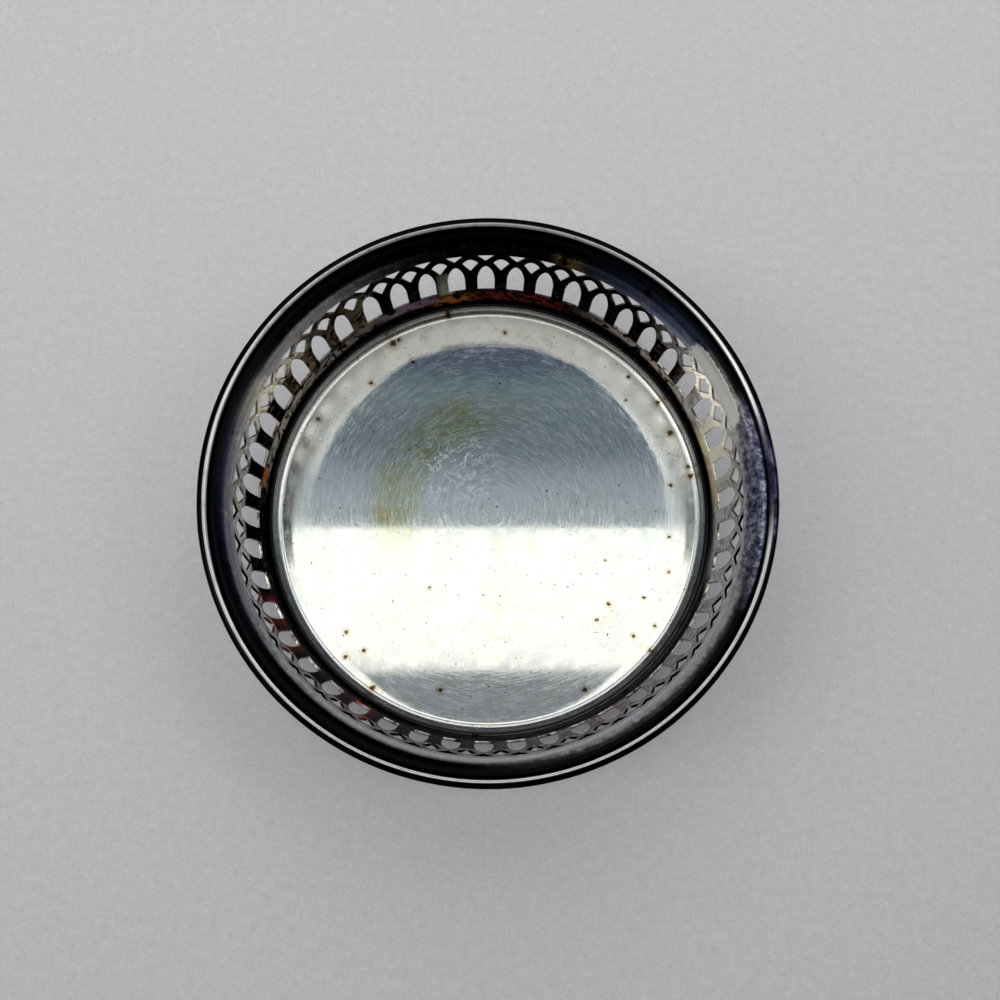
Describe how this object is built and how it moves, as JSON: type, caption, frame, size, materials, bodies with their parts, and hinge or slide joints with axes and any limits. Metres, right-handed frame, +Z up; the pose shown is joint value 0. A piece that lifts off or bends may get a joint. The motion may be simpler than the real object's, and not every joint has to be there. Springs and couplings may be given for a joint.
{
  "type": "wine bottle coaster",
  "caption": "Round wine bottle coaster with a pierced arcaded gallery, flared lip, wire rim, polished flat floor and a wooden base covered in baize.",
  "frame": {"origin": "centre of the underside, on the table", "axes": "+Z up; the picture was taken from above, a little towards -Y, with +X to its right"},
  "size_m": [0.125, 0.125, 0.0397],
  "materials": {
    "tarnished_silver": "silver plate, heavily tarnished to blue-black",
    "rim_silver": "silver plate, half tarnished, rubbed bright on top",
    "polished_silver": "silver plate, polished, finely scratched and spotted",
    "foot_silver": "silver plate, tarnished",
    "turned_wood": "turned hardwood, stained",
    "green_baize": "napped wool cloth",
    "pin_brass": "plain, dulled"
  },
  "bodies": {
    "root": {"gallery": "tarnished_silver", "rim_wire": "rim_silver", "floor_pan": "polished_silver", "foot_wire": "foot_silver", "base_disc": "turned_wood", "baize_pad": "green_baize", "base_pin_1": "pin_brass", "base_pin_2": "pin_brass", "base_pin_3": "pin_brass", "base_pin_4": "pin_brass", "base_pin_5": "pin_brass", "base_pin_6": "pin_brass", "base_pin_7": "pin_brass", "base_pin_8": "pin_brass"}
  },
  "joints": []
}
